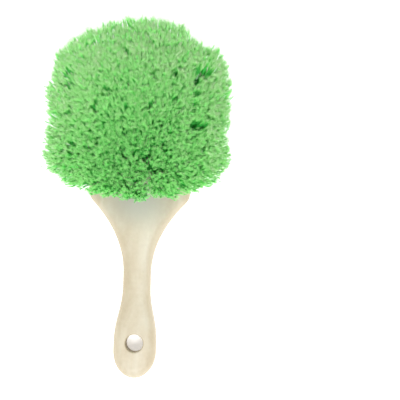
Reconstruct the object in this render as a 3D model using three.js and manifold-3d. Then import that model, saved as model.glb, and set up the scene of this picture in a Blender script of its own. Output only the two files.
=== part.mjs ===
// A staple-set wheel and fender brush: one moulded block with its handle, 48 tufts of bristle
// set in blind holes in a crowned face, and one wire staple across the fold of each tuft.
// The brush lies on its back. +Z runs up through the bristles, +Y runs to the toe, and the
// origin is on the flat back, under the middle of the head. Lengths are in millimetres.

import * as THREE from 'three';
import { mergeVertices } from 'three/addons/utils/BufferGeometryUtils.js';
import Module from 'manifold-3d';

// Block, seen from above
const blockLength = 215.9;
const headWidth = 72.4;
const toeReach = 43;
const shoulderReach = 43.4;
const toeRadius = 49.5;
const toeCornerReach = 7;
const shoulderCornerReach = 4;
const neckWidth = 19.7;
const neckFromButt = 66;
const neckLength = 9;
const buttWidth = 30.5;
const buttRoundLength = 19;
const buttSwellLength = 6;
const swellEaseShare = 0.42;

// Block, seen from the side
const headThickness = 21.5;
const neckThickness = 17.8;
const buttThickness = 21.2;
const toeFall = 7;
const crownRadius = 168;
const frontEdgeRadius = 7;
const frontEdgeTurns = [0, 25, 50, 90].map(THREE.MathUtils.degToRad);
const backEdgeRadius = 2.5;
const backEdgeTurns = [0, 45, 90].map(THREE.MathUtils.degToRad);
const gripBackEdgeRadius = 5;
const spineEndShare = 0.5;

// Hang hole
const hangHoleDiameter = 12.7;
const hangHoleFromButt = 25.2;
const hangHoleRim = 0.8;

// Tufts: how far across each column stands and its first tuft, as shares of the side column's
// reach, how far that tuft is set back from the edge of the toe, and how far the last one lies
// towards the shoulder
const sideMargin = 5.2;
const toeMargin = 5;
const toeStagger = 4.5;
const tuftColumns = [
  { acrossShare: 0, toeAcrossShare: 0, setback: toeMargin, lastShare: 0.9, count: 8 },
  { acrossShare: 0.328, toeAcrossShare: 0.322, setback: toeMargin + toeStagger, lastShare: 0.77, count: 7 },
  { acrossShare: 0.655, toeAcrossShare: 0.61, setback: toeMargin, lastShare: 0.597, count: 7 },
  { acrossShare: 1, toeAcrossShare: 0.86, setback: toeMargin, lastShare: 0.431, count: 6 },
];
const stripNames = ['toe_tufts', 'fore_tufts', 'mid_tufts', 'heel_tufts'];
const tuftsPerStrip = 2;

// Tufts: how they lean and spread
const heelBristleLength = 51.5;
const toeBristleLength = 56;
const toeLean = THREE.MathUtils.degToRad(56);
const heelLean = THREE.MathUtils.degToRad(-2);
const sideLean = THREE.MathUtils.degToRad(34);
const tuckFromShare = 0.33;
const tuckToShare = 0.77;
const toeTuckShare = 0.5;
const tuftHoleDiameter = 6;
const tuftHoleDepth = 10;
const drillOverrun = 5;
const strandRootRadius = 0.5;
const strandTipRadius = 1.3;
const rootSpreadShare = 0.6;
const strandsInRing = 6;
const strandSides = 3;

// The slice of the face that each strip of tufts is fused to
const sliceThickness = 1.6;
const sliceRim = 2;

// Staples: a flat strip of wire on edge across the fold of each tuft, wider than its hole
const stapleGauge = 0.7;
const stapleHeight = 2.2;
const stapleBite = 0.8;
const foldThickness = 1.5;

// Fits and facets
const clearance = 0.3;
const overrun = 10;
const holeSides = 8;
const plugSides = 4;
const hangHoleSides = 28;

const halfHead = headWidth / 2;
const sideReach = halfHead - sideMargin;
const halfNeck = neckWidth / 2;
const halfButt = buttWidth / 2;
const buttEnd = toeReach - blockLength;
const neckStart = buttEnd + neckFromButt;
const neckEnd = neckStart + neckLength;
const toeCentre = toeReach - toeRadius;
const plugRadius = tuftHoleDiameter / 2 - clearance;

const foamPlastic = new THREE.MeshStandardMaterial({ color: 0xe9e0c8, roughness: 0.62, metalness: 0 });
const greenBristle = new THREE.MeshStandardMaterial({ color: 0x58c84c, roughness: 0.55, metalness: 0 });
const stapleSteel = new THREE.MeshStandardMaterial({ color: 0xb9bcc0, roughness: 0.35, metalness: 1 });

const wasm = await Module();
wasm.setup();

function solidOf(geometry) {
  const bare = geometry.clone();
  bare.deleteAttribute('normal');
  bare.deleteAttribute('uv');
  const merged = mergeVertices(bare);
  const index = merged.index.array;
  const kept = [];
  for (let t = 0; t < index.length; t += 3) {
    const [a, b, c] = index.slice(t, t + 3);
    if (a !== b && b !== c && c !== a) kept.push(a, b, c);
  }
  const vertProperties = new Float32Array(merged.attributes.position.array);
  return new wasm.Manifold(new wasm.Mesh({ numProp: 3, vertProperties, triVerts: new Uint32Array(kept) }));
}

function geometryOf(solid) {
  const { vertProperties, triVerts } = solid.getMesh();
  const geometry = new THREE.BufferGeometry();
  geometry.setAttribute('position', new THREE.BufferAttribute(vertProperties, 3));
  geometry.setIndex(new THREE.BufferAttribute(triVerts, 1));
  const flat = geometry.toNonIndexed();
  flat.computeVertexNormals();
  return flat;
}

// A closed skin over rings of points that run anticlockwise, the lowest ring first. The end
// rings of the block are folded flat onto its spine, so only a strand needs its ends capped.
function skinOver(rings, capped) {
  const corners = [];
  const count = rings[0].length;
  for (let r = 0; r + 1 < rings.length; r += 1) {
    for (let i = 0; i < count; i += 1) {
      const next = (i + 1) % count;
      corners.push(rings[r][i], rings[r][next], rings[r + 1][next]);
      corners.push(rings[r][i], rings[r + 1][next], rings[r + 1][i]);
    }
  }
  if (capped) {
    const top = rings[rings.length - 1];
    for (let i = 1; i + 1 < count; i += 1) {
      corners.push(rings[0][0], rings[0][i + 1], rings[0][i]);
      corners.push(top[0], top[i], top[i + 1]);
    }
  }
  return new THREE.BufferGeometry().setFromPoints(corners);
}

// The frame of a tuft: its axis points out of the face, and x stays level across the head
function placedOn(axis, origin) {
  const across = new THREE.Vector3(1, 0, 0).addScaledVector(axis, -axis.x).normalize();
  const along = new THREE.Vector3().crossVectors(axis, across);
  return new THREE.Matrix4().makeBasis(across, along, axis).setPosition(origin);
}

// Right half of the outline, from the end of the handle to the toe
function halfOutline() {
  const flareMiddle = (neckEnd - shoulderReach) / 2;
  const shoulder = new THREE.Vector2(halfHead, -shoulderReach);
  const flareTurn = new THREE.Vector2(halfNeck, flareMiddle);
  const flareEnd = shoulder.clone().lerp(flareTurn, shoulderCornerReach / shoulder.distanceTo(flareTurn));
  const buttWidest = buttEnd + buttRoundLength;
  const swellEnd = buttWidest + buttSwellLength;
  const swellEase = (neckStart - swellEnd) * swellEaseShare;
  const cornerAngle = Math.acos(halfHead / toeRadius);
  const toeCorner = toeCentre + toeRadius * Math.sin(cornerAngle);
  const arcStart = cornerAngle + toeCornerReach / toeRadius;

  const pieces = [
    [new THREE.EllipseCurve(0, buttWidest, halfButt, buttRoundLength, -Math.PI / 2, 0), 8],
    [new THREE.LineCurve(new THREE.Vector2(halfButt, buttWidest), new THREE.Vector2(halfButt, swellEnd)), 1],
    [new THREE.CubicBezierCurve(
      new THREE.Vector2(halfButt, swellEnd), new THREE.Vector2(halfButt, swellEnd + swellEase),
      new THREE.Vector2(halfNeck, neckStart - swellEase), new THREE.Vector2(halfNeck, neckStart)), 7],
    [new THREE.LineCurve(new THREE.Vector2(halfNeck, neckStart), new THREE.Vector2(halfNeck, neckEnd)), 1],
    [new THREE.QuadraticBezierCurve(new THREE.Vector2(halfNeck, neckEnd), flareTurn, flareEnd), 8],
    [new THREE.QuadraticBezierCurve(
      flareEnd, shoulder, new THREE.Vector2(halfHead, shoulderCornerReach - shoulderReach)), 3],
    [new THREE.LineCurve(
      new THREE.Vector2(halfHead, shoulderCornerReach - shoulderReach), new THREE.Vector2(halfHead, 0)), 1],
    [new THREE.LineCurve(
      new THREE.Vector2(halfHead, 0), new THREE.Vector2(halfHead, toeCorner - toeCornerReach)), 2],
    [new THREE.QuadraticBezierCurve(
      new THREE.Vector2(halfHead, toeCorner - toeCornerReach), new THREE.Vector2(halfHead, toeCorner),
      new THREE.Vector2(toeRadius * Math.cos(arcStart), toeCentre + toeRadius * Math.sin(arcStart))), 1],
    [new THREE.EllipseCurve(0, toeCentre, toeRadius, toeRadius, arcStart, Math.PI / 2), 4],
  ];
  const points = [new THREE.Vector2(0, buttEnd)];
  for (const [curve, steps] of pieces) points.push(...curve.getPoints(steps).slice(1));
  points[points.length - 1].set(0, toeReach);
  return points;
}

const rightOutline = halfOutline();
const leftOutline = rightOutline.slice(1, -1).reverse().map((p) => new THREE.Vector2(-p.x, p.y));
const outline = [...rightOutline, ...leftOutline];
const spineStart = buttEnd + halfButt * spineEndShare;
const spineEnd = toeReach - halfHead * spineEndShare;

// The outline drawn in towards the spine by a distance, or by a share of the way past it
function drawnIn(inset, share) {
  return outline.map((p) => {
    const spine = new THREE.Vector2(0, THREE.MathUtils.clamp(p.y, spineStart, spineEnd));
    const reach = p.distanceTo(spine);
    const moved = inset(p.y) + (reach - inset(p.y)) * share;
    return p.clone().lerp(spine, moved / reach);
  });
}

// Height of the front face on the centre line, from the end of the handle to the toe
function centreHeight(y) {
  const toNeck = THREE.MathUtils.smoothstep(y, buttEnd + hangHoleFromButt, neckStart);
  const toHead = THREE.MathUtils.smoothstep(y, neckEnd, -shoulderReach);
  const grip = THREE.MathUtils.lerp(buttThickness, neckThickness, toNeck);
  const toeShare = Math.max(y, 0) / toeReach;
  return THREE.MathUtils.lerp(grip, headThickness, toHead) - toeFall * toeShare ** 2;
}

function crownedHeight(x, y) {
  return centreHeight(y) - x ** 2 / (2 * crownRadius);
}

function backRadius(y) {
  const toHead = THREE.MathUtils.smoothstep(y, neckEnd, -shoulderReach);
  return THREE.MathUtils.lerp(gripBackEdgeRadius, backEdgeRadius, toHead);
}

function plainBlock() {
  const onSpine = drawnIn(() => 0, 1);
  const rings = [onSpine.map((p) => new THREE.Vector3(p.x, p.y, 0))];
  for (const turn of backEdgeTurns) {
    const inset = (y) => backRadius(y) * (1 - Math.sin(turn));
    rings.push(drawnIn(inset, 0).map((p, i) => {
      const rise = backRadius(outline[i].y) * (1 - Math.cos(turn));
      return new THREE.Vector3(p.x, p.y, rise);
    }));
  }
  for (const turn of frontEdgeTurns) {
    const inset = () => frontEdgeRadius * (1 - Math.cos(turn));
    rings.push(drawnIn(inset, 0).map((p) => {
      const fall = frontEdgeRadius * (1 - Math.sin(turn));
      return new THREE.Vector3(p.x, p.y, crownedHeight(p.x, p.y) - fall);
    }));
  }
  for (const points of [drawnIn(() => frontEdgeRadius, 1 / 2), onSpine]) {
    rings.push(points.map((p) => new THREE.Vector3(p.x, p.y, crownedHeight(p.x, p.y))));
  }
  return solidOf(skinOver(rings, false));
}

function hangHole() {
  const radius = hangHoleDiameter / 2;
  const top = centreHeight(buttEnd + hangHoleFromButt);
  const profile = [
    [0, -overrun], [radius + hangHoleRim + overrun, -overrun], [radius, hangHoleRim],
    [radius, top - hangHoleRim], [radius + hangHoleRim + overrun, top + overrun], [0, top + overrun],
  ].map(([r, z]) => new THREE.Vector2(r, z));
  const turned = new THREE.LatheGeometry(profile, hangHoleSides);
  turned.rotateX(Math.PI / 2);
  turned.translate(0, buttEnd + hangHoleFromButt, 0);
  return solidOf(turned);
}

const block = plainBlock();
const blockSkin = new THREE.Mesh(geometryOf(block), foamPlastic);
const downward = new THREE.Raycaster();

// Height of the face of the block over a place on the head
function faceHeight(x, y) {
  downward.set(new THREE.Vector3(x, y, headThickness + overrun), new THREE.Vector3(0, 0, -1));
  return downward.intersectObject(blockSkin)[0].point.z;
}

// Where the first and the last tuft of a column stand along the brush
function columnEnds(column) {
  const across = column.toeAcrossShare * sideReach;
  const first = toeCentre + Math.sqrt((toeRadius - column.setback) ** 2 - across ** 2);
  return [first, -column.lastShare * shoulderReach];
}

// Every tuft with its strip, its root on the face and its axis
function layTufts() {
  const [firstTuft, lastTuft] = columnEnds(tuftColumns[0]);
  const tufts = [];
  for (const column of tuftColumns) {
    const [first, last] = columnEnds(column);
    const sides = column.acrossShare > 0 ? [1, -1] : [1];
    for (let k = 0; k < column.count; k += 1) {
      const y = THREE.MathUtils.lerp(first, last, k / (column.count - 1));
      const strip = Math.min(Math.floor(k / tuftsPerStrip), stripNames.length - 1);
      for (const side of sides) {
        const x = side * sideReach * (k === 0 ? column.toeAcrossShare : column.acrossShare);
        const root = new THREE.Vector3(x, y, faceHeight(x, y));
        const way = THREE.MathUtils.inverseLerp(lastTuft, firstTuft, y);
        const along = THREE.MathUtils.lerp(Math.sin(heelLean), Math.sin(toeLean), way);
        const tuck = THREE.MathUtils.smoothstep(y, tuckFromShare * toeReach, tuckToShare * toeReach);
        const fanShare = 1 - toeTuckShare * tuck;
        const across = Math.sin(sideLean) * (x / sideReach) * fanShare;
        const axis = new THREE.Vector3(across, along, Math.sqrt(1 - across ** 2 - along ** 2));
        const length = THREE.MathUtils.lerp(heelBristleLength, toeBristleLength, way);
        tufts.push({ strip, root, axis, length, fanShare });
      }
    }
  }
  return tufts;
}

// The line between two strips, or the heel line after the last, zigzags between the holes
function seamPoints(strip) {
  const right = tuftColumns.map((column) => {
    const [first, last] = columnEnds(column);
    const pitch = (first - last) / (column.count - 1);
    const before = Math.min(strip * tuftsPerStrip, column.count);
    return new THREE.Vector2(column.acrossShare * sideReach, first - pitch * (before - 1 / 2));
  });
  right.push(new THREE.Vector2(headWidth, right[right.length - 1].y));
  const left = right.slice(1).reverse().map((p) => new THREE.Vector2(-p.x, p.y));
  return [...left, ...right];
}

function prism(points) {
  const depth = headThickness + 2 * overrun;
  const upright = new THREE.ExtrudeGeometry(new THREE.Shape(points), { depth, bevelEnabled: false });
  upright.translate(0, 0, -overrun);
  return solidOf(upright);
}

// Everything from a seam to beyond the toe, with the seam shifted along the brush
function aheadOf(strip, shift) {
  const seam = seamPoints(strip).map((p) => new THREE.Vector2(p.x, p.y + shift));
  const beyondToe = toeReach + overrun;
  return prism([...seam, new THREE.Vector2(headWidth, beyondToe), new THREE.Vector2(-headWidth, beyondToe)]);
}

// The part of the face inside its rim, from the heel line to the toe
function faceField(rim, heelShift) {
  return prism(drawnIn(() => rim, 0)).intersect(aheadOf(stripNames.length, -heelShift));
}

function stripField(strip) {
  const reach = aheadOf(strip + 1, clearance / 2);
  return strip > 0 ? reach.subtract(aheadOf(strip, -clearance / 2)) : reach;
}

// A staple in the frame of its tuft, grown all round by a gap where it cuts its seat
function stapleStrip(gap) {
  const width = tuftHoleDiameter + 2 * stapleBite;
  const strip = new THREE.BoxGeometry(width + 2 * gap, stapleGauge + 2 * gap, stapleHeight + 2 * gap);
  strip.translate(0, 0, foldThickness + stapleHeight / 2 - tuftHoleDepth);
  return strip;
}

// A straight piece between two rings, each with its own frame and radius
function spanned(rings, sides, firstTurn) {
  const corners = rings.map(([frame, radius]) => Array.from({ length: sides }, (_, i) => {
    const turn = firstTurn + (2 * Math.PI * i) / sides;
    return new THREE.Vector3(radius * Math.cos(turn), radius * Math.sin(turn), 0).applyMatrix4(frame);
  }));
  return solidOf(skinOver(corners, true));
}

// An upright rod in the frame of a tuft, between two heights along the axis
function uprightRod(radius, from, to, sides) {
  const levelAt = (height) => new THREE.Matrix4().makeTranslation(0, 0, height);
  return spanned([[levelAt(from), radius], [levelAt(to), radius]], sides, Math.PI / 2 + Math.PI / sides);
}

function placedSolid(solid, tuft) {
  return solidOf(geometryOf(solid).applyMatrix4(placedOn(tuft.axis, tuft.root)));
}

function strandBetween(root, tip) {
  const axis = tip.clone().sub(root).normalize();
  const rings = [[placedOn(axis, root), strandRootRadius], [placedOn(axis, tip), strandTipRadius]];
  return spanned(rings, strandSides, 0);
}

// How far apart the tips of neighbouring tufts are along the brush and across it
function tipPitches(tuft) {
  const centre = tuftColumns[0];
  const [first, last] = columnEnds(centre);
  const leanGain = toeBristleLength * Math.sin(toeLean) - heelBristleLength * Math.sin(heelLean);
  const sideRun = sideReach + tuft.length * Math.sin(sideLean) * tuft.fanShare;
  return { along: (first - last + leanGain) / (centre.count - 1), across: sideRun / (tuftColumns.length - 1) };
}

// Seven strands fan out of a tuft's root, one amid six. Tufts stand like the cells of a
// honeycomb, and a ring turned so in each cell spreads all the tips evenly.
function strandsOf(tuft) {
  const ringTurn = Math.PI / 2 + Math.atan(Math.sqrt(3) / 5);
  const pitches = tipPitches(tuft);
  const alongReach = pitches.along / Math.sqrt(7);
  const acrossReach = (pitches.across * 2) / Math.sqrt(3) / Math.sqrt(7);
  const rootReach = plugRadius * rootSpreadShare;
  const tipCentre = tuft.root.clone().addScaledVector(tuft.axis, tuft.length);
  return Array.from({ length: strandsInRing + 1 }, (_, i) => {
    const turn = ringTurn + (2 * Math.PI * i) / strandsInRing;
    const out = i < strandsInRing ? 1 : 0;
    const across = out * Math.cos(turn);
    const along = out * Math.sin(turn);
    const root = tuft.root.clone().add(new THREE.Vector3(across * rootReach, along * rootReach, 0));
    root.z = faceHeight(root.x, root.y) - sliceThickness / 2;
    const aim = tipCentre.clone().add(new THREE.Vector3(across * acrossReach, along * alongReach, 0));
    return strandBetween(root, aim.sub(tuft.root).setLength(tuft.length).add(tuft.root));
  });
}

const part = new THREE.Group();

function addPiece(name, geometry, material) {
  const mesh = new THREE.Mesh(geometry, material);
  mesh.name = name;
  part.add(mesh);
  return mesh;
}

const tufts = layTufts();

const recess = faceField(sliceRim - clearance, clearance).subtract(
  block.translate([0, 0, -sliceThickness - clearance]));
const seat = solidOf(stapleStrip(clearance));
const drill = uprightRod(tuftHoleDiameter / 2, -tuftHoleDepth, drillOverrun, holeSides).add(seat);
let moulded = block.subtract(hangHole()).subtract(recess);
for (const tuft of tufts) moulded = moulded.subtract(placedSolid(drill, tuft));
addPiece('handle_block', geometryOf(moulded), foamPlastic);

const faceSlice = block.intersect(faceField(sliceRim, 0)).subtract(block.translate([0, 0, -sliceThickness]));
const underFace = block.translate([0, 0, -sliceThickness / 2]);
const plug = uprightRod(plugRadius, clearance - tuftHoleDepth, drillOverrun, plugSides).subtract(seat);
stripNames.forEach((name, strip) => {
  let bristles = faceSlice.intersect(stripField(strip));
  for (const tuft of tufts.filter((each) => each.strip === strip)) {
    bristles = bristles.add(placedSolid(plug, tuft).intersect(underFace));
    for (const strand of strandsOf(tuft)) bristles = bristles.add(strand);
  }
  addPiece(name, geometryOf(bristles), greenBristle);
});

tufts.forEach((tuft, i) => {
  const staple = addPiece(`staple_${String(i + 1).padStart(2, '0')}`, stapleStrip(0), stapleSteel);
  staple.applyMatrix4(placedOn(tuft.axis, tuft.root));
});

export default part;
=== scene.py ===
import math

import bmesh
import bpy
import numpy as np
from mathutils import Matrix, Vector


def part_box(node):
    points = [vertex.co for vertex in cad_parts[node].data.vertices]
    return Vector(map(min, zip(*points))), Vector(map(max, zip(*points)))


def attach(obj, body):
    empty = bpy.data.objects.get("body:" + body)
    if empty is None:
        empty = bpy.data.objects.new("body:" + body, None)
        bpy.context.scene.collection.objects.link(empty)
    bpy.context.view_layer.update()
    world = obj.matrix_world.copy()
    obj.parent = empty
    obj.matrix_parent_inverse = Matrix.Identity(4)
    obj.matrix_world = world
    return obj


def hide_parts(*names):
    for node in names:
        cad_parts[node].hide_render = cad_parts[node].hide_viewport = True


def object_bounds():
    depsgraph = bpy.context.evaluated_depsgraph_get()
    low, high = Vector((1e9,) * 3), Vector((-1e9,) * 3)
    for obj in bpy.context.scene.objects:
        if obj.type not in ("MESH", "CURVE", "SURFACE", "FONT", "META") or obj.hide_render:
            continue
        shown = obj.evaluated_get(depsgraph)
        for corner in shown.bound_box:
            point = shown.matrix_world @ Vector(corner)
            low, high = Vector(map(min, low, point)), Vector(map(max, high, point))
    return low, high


# A wheel and fender brush, lying on its back. +Z runs up through the bristles and +Y runs to the
# toe of the head. Lengths are in metres, and MM turns a size in millimetres into metres.
MM = 0.001

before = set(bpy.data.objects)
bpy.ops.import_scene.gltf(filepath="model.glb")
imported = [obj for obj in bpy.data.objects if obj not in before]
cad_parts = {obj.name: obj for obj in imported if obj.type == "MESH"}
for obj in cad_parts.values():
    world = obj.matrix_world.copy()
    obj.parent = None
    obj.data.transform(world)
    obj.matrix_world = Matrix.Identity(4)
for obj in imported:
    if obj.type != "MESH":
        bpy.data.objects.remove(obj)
cad_low, cad_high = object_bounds()

# The moulded block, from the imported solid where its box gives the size
BLOCK_LOW, BLOCK_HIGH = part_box("handle_block")
BUTT_END = BLOCK_LOW.y
TOE_REACH = BLOCK_HIGH.y
HALF_HEAD = BLOCK_HIGH.x
HEAD_THICKNESS = BLOCK_HIGH.z
SHOULDER_REACH = 43.4 * MM
TOE_RADIUS = 49.5 * MM
TOE_CORNER_REACH = 7 * MM
SHOULDER_CORNER_REACH = 4 * MM
HALF_NECK = 9.85 * MM
HALF_BUTT = 15.25 * MM
NECK_START = BUTT_END + 66 * MM
NECK_END = NECK_START + 9 * MM
BUTT_WIDEST = BUTT_END + 19 * MM
SWELL_END = BUTT_WIDEST + 6 * MM
SWELL_EASE_SHARE = 0.42
NECK_THICKNESS = 17.8 * MM
BUTT_THICKNESS = 21.2 * MM
TOE_FALL = 7 * MM
CROWN_RADIUS = 168 * MM
FRONT_EDGE_RADIUS = 7 * MM
BACK_EDGE_RADIUS = 2.5 * MM
GRIP_BACK_EDGE_RADIUS = 5 * MM
SPINE_END_SHARE = 0.5
PARTING_HEIGHT_SHARE = 0.42
PARTING_RIDGE = 0.06 * MM
PARTING_HALF_WIDTH = 0.35 * MM

# How finely the block is divided, and how its mesh is joined and shaded
BACK_SHARES = (1, 0.5)
BACK_EDGE_RINGS = 7
FRONT_EDGE_RINGS = 10
FACE_SHARES = (0.12, 0.26, 0.42, 0.6, 0.8, 1)
WELD_DISTANCE = 0.01 * MM
SLIVER_LENGTH = 0.001 * MM
SHARP_ANGLE = math.radians(38)

# Hang hole and tuft holes
HANG_HOLE_RADIUS = 6.35 * MM
HANG_HOLE_LIP = 1.3 * MM
HANG_HOLE_Y = BUTT_END + 25.2 * MM
HANG_HOLE_LIP_RINGS = 7
HANG_HOLE_SIDES = 72
TUFT_HOLE_RADIUS = 3 * MM
TUFT_HOLE_DEPTH = 10 * MM
TUFT_HOLE_SIDES = 20
FOLD_THICKNESS = 1.5 * MM
STAPLE_HEIGHT = 2.2 * MM
STAPLE_HEIGHT_SLACK = 0.02 * MM
OVERRUN = 6 * MM

# Tufts
COLUMN_COUNTS = (8, 7, 7, 6)
STRIPS = ("toe_tufts", "fore_tufts", "mid_tufts", "heel_tufts")
TUFTS_PER_STRIP = 2
HEEL_BRISTLE_LENGTH = 51.5 * MM
TOE_BRISTLE_LENGTH = 56 * MM
ROOT_BELOW_FACE = 3 * MM

# The trimmed face of the bristles: pairs of a place along the brush and half the width there, in mm
TRIM_OUTLINE = ((-44.5, 0), (-44, 14), (-42, 32), (-38, 45), (-33.5, 55), (-28.5, 62.5), (-20, 67),
                (-8, 67.6), (6, 67.2), (22, 66.4), (36, 65.6), (48, 64.2), (55, 61.5), (62, 55.5),
                (69, 47.5), (75, 39), (80.5, 27), (84.8, 12), (86, 0))
TRIM_CORNER_CUTS = 2
TRIM_CORNER_SHARE = 0.25
TRIM_MIDDLE = (0.0, 18 * MM)
TRIM_HEEL = -20 * MM
TRIM_TOE = 60 * MM
TRIM_RINGS = 14

# Waves of the trimmed face's edge: how many go round, where they start and how high they are
UNEVEN_EDGE = ((11, 0.4, 0.9 * MM), (17, 2.0, 0.8 * MM), (31, 4.1, 0.8 * MM))

# One filament, of unit length: its stem and its split ends
FILAMENT_RADIUS = 0.18 * MM
FILAMENT_SIDES = 3
FLAG_FROM_SHARE = 0.87
FLAG_OVERLAP_SHARE = 0.01
FLAG_SPLAY = 1.3 * MM
FLAG_ENDS = 4
SHORT_FLAG_SHARE = 0.55
FLAG_ROOT_THICKNESS = 0.7
FLAG_MIDDLE_THICKNESS = 0.8
FLAG_MIDDLE_SPREAD = 0.42
STEM_LEVELS = (0, 0.35, 0.65, FLAG_FROM_SHARE)

# How the filaments fill the tufts
BRISTLE_SEED = 7
TIP_SPACING = 0.68 * MM
TIP_DENSITY_LIMIT = 6e6
TOE_TIP_SHARE = 0.84
FLARE_POWER = 1.25
GATHERING = 0.12
PATCH_SCALE = 70.0
PATCH_FROM, PATCH_TO = 0.5, 0.72
KINK_FROM_SHARE = 0.88
KINK_POWER = 1.6
CLUMP_KINK = 0.8 * MM
FILAMENT_KINK = 2.3 * MM
STRAY_SHARE = 0.07
STRAY_KINK = 2 * MM
STRAY_REACH = 3 * MM

# The upward part of a tuft's axis, from a leaning tuft at the toe to an upright one at the heel.
# Clumps are tighter, and more of them stand back and leave a gap, where the tufts are upright.
LEANING, UPRIGHT = 0.8, 0.98
CLUMP_SIZE = 1.35 * MM
CLUMPING = 0.36
CLUMP_SHIFT = 0.5 * MM
TOE_CLUMPING, HEEL_CLUMPING = 0.5, 1.9
TOE_GAP_SHARE, HEEL_GAP_SHARE = 0.04, 0.4
GAP_DEPTH = 9 * MM

# How uneven the trim is, from tip to tip and from tuft to tuft, more where the tufts lean out.
# A tip lies between these two shares of the uneven trim from the trimmed face.
TIP_BELOW, TIP_ABOVE = -1.0, 0.35
UNEVEN_TRIM = 1.1 * MM
UNEVEN_TUFTS = 2.4 * MM
UPRIGHT_UNEVENNESS = 0.7
LEANING_UNEVENNESS = 3.0
OUTER_GAIN = 5.0
SHORT_SHARE = 0.14
SHORT_DEPTH = 20 * MM
SHORT_LEAST = 0.2

# Long stray filaments at the two corners of the heel edge
WHISKER_ASIDE = 36 * MM
WHISKER_BELOW = -16 * MM
WHISKER_EASE = 9 * MM
WHISKER_GAIN = 2.9

# How light each filament is. Its clump and its own draw give it its own tone, and a short one is
# paler. A lower tip, a gap, a parted spot and an upright tuft at the heel are painted darker and
# less pale, a painted shade.
SHADE_LOW, SHADE_HIGH = 0.18, 0.88
CLUMP_SHADE = 0.25
HEIGHT_PAINTED_SHADE = 0.2
SHORT_SHADE = 0.8
GAP_PAINTED_SHADE = 1.8
PARTED_PAINTED_SHADE = 3.0
# Painted shade on the upright tufts at the heel: duller and less pale from this uprightness up
HEEL_PAINTED_SHADE_FROM = 0.72
HEEL_PAINTED_SHADE = 0.46

# Spots where the tips stand apart and the eye falls between the tufts: place and reach, in mm
PARTED_SPOTS = ((43, 48.5, 5), (48, 48, 4.1), (42.5, 41, 3.5), (43, 32.5, 3.3), (43.5, 24, 3.1),
                (42, 10, 4.1), (46.5, 10.5, 4.1), (-51.5, 45, 3.3), (-50.5, 37, 3.2), (-47.5, -5, 3),
                (-48, -14, 3), (-24, 34, 3.1), (27, 46, 2.9), (26, 39, 2.8))
PARTED_DEPTH = 22 * MM
PARTED_LEAST = 0.45
PARTED_EDGE = 1.6 * MM

# What the bristle tree takes as numbers
BRISTLE_MEASURES = {
    "Tip spacing": TIP_SPACING,
    "Hole radius": TUFT_HOLE_RADIUS - FILAMENT_RADIUS,
    "Filament radius": FILAMENT_RADIUS,
    "Flare power": FLARE_POWER,
    "Flag splay": FLAG_SPLAY,
    "Gathering": GATHERING,
    "Clump size": CLUMP_SIZE,
    "Clumping": CLUMPING,
    "Clump shift": CLUMP_SHIFT,
    "Clump kink": CLUMP_KINK,
    "Filament kink": FILAMENT_KINK,
    "Stray share": STRAY_SHARE,
    "Stray kink": STRAY_KINK,
    "Stray reach": STRAY_REACH,
    "Uneven trim": UNEVEN_TRIM,
    "Uneven tufts": UNEVEN_TUFTS,
    "Gap depth": GAP_DEPTH,
    "Short share": SHORT_SHARE,
    "Short depth": SHORT_DEPTH,
    "Parted depth": PARTED_DEPTH,
}

# What the filaments' points hold only while they are being placed
SPARE_ATTRIBUTES = ("tuft_tip", "root", "axis", "across", "reach", "group", "stand", "kink", "lean",
                    "rise", "twist", "ring", "splay")

# Colours in display values: a ramp's stops, each a place and a colour
# The filament's own saturated green, darkened towards the root by a painted shade deep in the tufts
FILAMENT_COLOURS = ((0.0, (60, 162, 68)), (0.5, (82, 202, 90)), (0.82, (90, 232, 102)),
                    (0.93, (166, 238, 144)), (1.0, (248, 246, 226)))
PLASTIC_COLOURS = ((0.3, (163, 150, 125)), (0.52, (175, 166, 145)), (0.75, (184, 178, 161)))
WIRE_COLOURS = ((0.3, (150, 152, 156)), (0.7, (196, 198, 202)))
# The warm colour of the painted shade on the plastic's edges
PLASTIC_EDGE_SHADE_COLOUR = (184, 162, 118)
# The grey of the painted shadow at the shoulder
PAINTED_SHADOW_COLOUR = (152, 153, 142)
FLOOR_COLOUR = (250, 250, 250)

# Filament material. The whitened wear reaches further down a light filament than a dull one. A
# filament's brightness goes from dullest to brightest with its shade, and below the deep shade,
# where the gaps and the parted spots lie, it falls on towards the darkest, a painted shade.
FILAMENT_ROUGHNESS = 0.6
FILAMENT_GLOSS = 0.15
WEAR_REACH = 0.065
DULL_SHADE, DULLEST = -0.4, 0.95
BRIGHT_SHADE, BRIGHTEST = 1.0, 1.035
DARK_SHADE, DARKEST = -3.4, 0.5
DEEP_SHADE = -0.5

# Plastic: swirls along the handle, mottling, grain, and a warm painted shade on its edges that
# grows as the surface turns from facing up. Scales are the number of cells to the metre.
SWIRL_SCALE = 60.0
SWIRL_STRETCH = (1.0, 0.3, 1.0)
MOTTLE_SCALE = 420.0
MOTTLE_FROM, MOTTLE_TO = 0.3, 0.7
MOTTLE_DULLEST, MOTTLE_BRIGHTEST = 0.965, 1.03
GRAIN_SCALE = 1400.0
GRAIN_STRENGTH = 0.25
GRAIN_DEPTH = 0.1 * MM
PLASTIC_ROUGHNESS = (0.42, 0.6)
EDGE_SHADE_FROM, EDGE_SHADE_TO = 0.95, 0.1
EDGE_SHADE_STRENGTH = 0.4
DRAW_LINE_SCALE = 2500.0
WIRE_ROUGHNESS = (0.25, 0.45)

# A painted shadow at the shoulder, under the overhanging bristles: the plastic's colour greyed
# round a middle there
PAINTED_SHADOW_MIDDLE = (0.0, -44 * MM, 22 * MM)
PAINTED_SHADOW_CORE = 5 * MM
PAINTED_SHADOW_REACH = 27 * MM
PAINTED_SHADOW_STRETCH = (0.85, 1.0, 1.0)
PAINTED_SHADOW_STRENGTH = 0.8

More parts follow.
